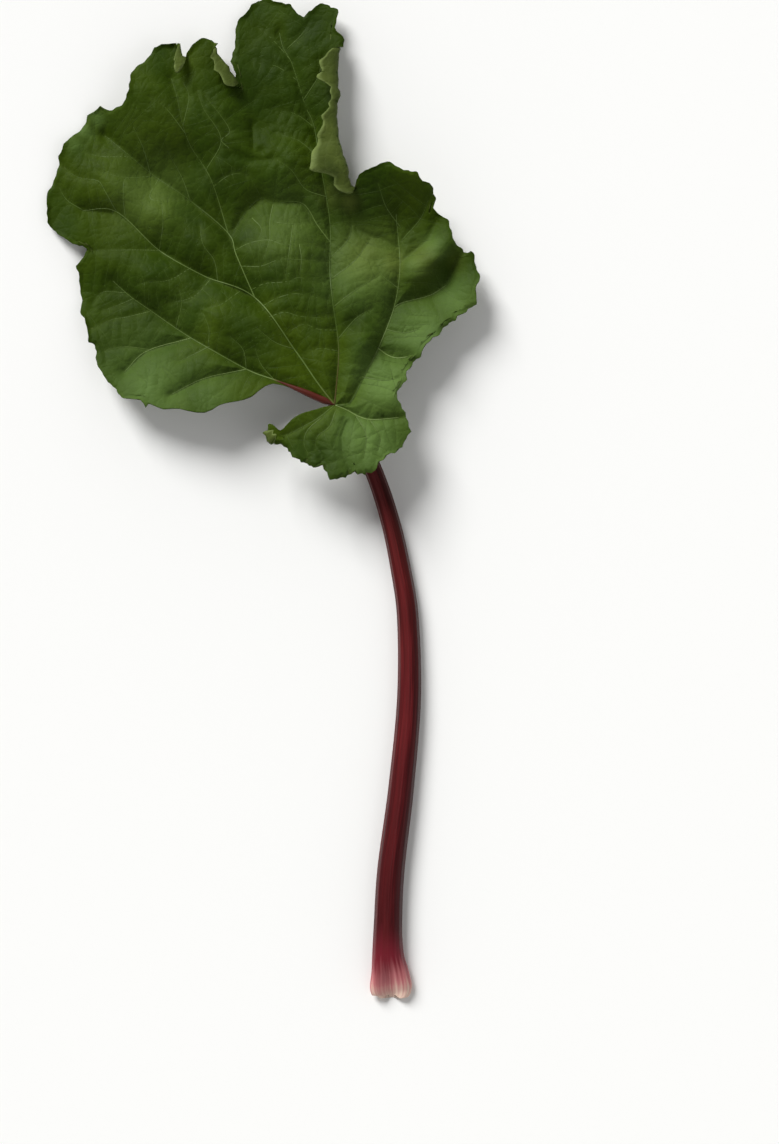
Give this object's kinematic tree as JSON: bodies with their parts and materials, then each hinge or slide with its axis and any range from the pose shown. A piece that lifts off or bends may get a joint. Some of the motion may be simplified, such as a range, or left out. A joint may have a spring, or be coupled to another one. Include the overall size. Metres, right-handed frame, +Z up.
{
  "type": "rhubarb stalk with leaf",
  "caption": "Ribbed red leaf stalk with a channelled upper face and a flared pale foot, carrying one broad, waved and puckered green leaf blade; it lies on a surface.",
  "frame": {"origin": "under the middle of the object's box, on the surface that it lies on", "axes": "+Y runs from the stalk's foot towards the leaf's tip, +Z is up out of the leaf's upper face, +X is to the right seen from above"},
  "size_m": [0.3927, 0.9054, 0.0527],
  "materials": {
    "stalk": "smooth red stalk skin, semi-gloss",
    "leaf": "puckered green leaf, waxy and semi-matt"
  },
  "bodies": {
    "root": {"stalk": "stalk", "leaf_blade": "leaf"}
  },
  "joints": []
}
